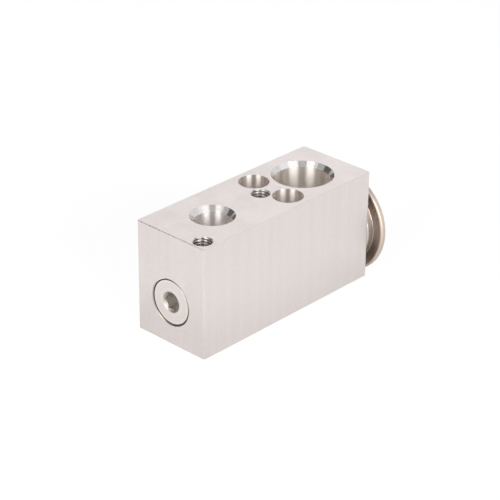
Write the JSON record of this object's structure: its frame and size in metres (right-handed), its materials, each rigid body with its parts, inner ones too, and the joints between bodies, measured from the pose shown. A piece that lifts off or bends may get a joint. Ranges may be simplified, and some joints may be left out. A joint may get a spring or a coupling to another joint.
{
  "type": "thermostatic expansion valve",
  "caption": "Block-type thermostatic expansion valve for a vehicle air conditioner, with pipe ports, adjusting screw and power head.",
  "frame": {"origin": "midway between the two through-bolts, on the evaporator-side face", "axes": "+X along the valve axis from the adjusting screw to the power head, +Z out of the pipe-side face, Y across the block"},
  "size_m": [0.0853, 0.0362, 0.0415],
  "materials": {
    "block_aluminium": "extruded and milled, satin",
    "screw_aluminium": "turned",
    "rod_aluminium": "turned",
    "head_steel": "pressed stainless steel",
    "weld_straw": "straw-tinted weld",
    "inner_steel": "turned",
    "spring_steel": "drawn wire and strip",
    "ball_steel": "ground and polished",
    "seal_rubber": "moulded"
  },
  "bodies": {
    "valve_body": {"valve_block": "block_aluminium", "head_lower_cover": "head_steel", "head_upper_cover": "head_steel", "rim_weld": "weld_straw", "charge_plug": "head_steel", "head_o_ring": "seal_rubber", "diaphragm": "head_steel", "rod_seal_o_ring": "seal_rubber", "rod_seal_retainer": "spring_steel"},
    "stem": {"sensing_rod": "rod_aluminium", "push_rod": "inner_steel", "diaphragm_plate": "rod_aluminium", "valve_ball": "ball_steel", "ball_carrier": "inner_steel", "damping_ring": "spring_steel", "superheat_spring": "spring_steel"},
    "screw_advance": {"adjusting_screw_o_ring": "seal_rubber"},
    "screw": {"adjusting_screw": "screw_aluminium"}
  },
  "joints": [
    {"name": "stem_slide", "type": "slide", "parent": "valve_body", "child": "stem", "axis": [1, 0, 0], "range_m": [-0.00045, 0.00025], "stiffness_N_per_m": 12000, "deforming": ["superheat_spring", "diaphragm"]},
    {"name": "screw_advance_slide", "type": "slide", "parent": "valve_body", "child": "screw_advance", "axis": [1, 0, 0], "range_m": [-0.001, 0.001], "deforming": ["superheat_spring"]},
    {"name": "screw_turn", "type": "hinge", "parent": "screw_advance", "child": "screw", "pos_m": [-0.04475, 0, 0.0146], "axis": [1, 0, 0], "range_deg": [-360, 360]}
  ],
  "couplings": [
    {"joint": "screw_advance_slide", "follows": "screw_turn", "m_per_rad": 0.00015915}
  ]
}
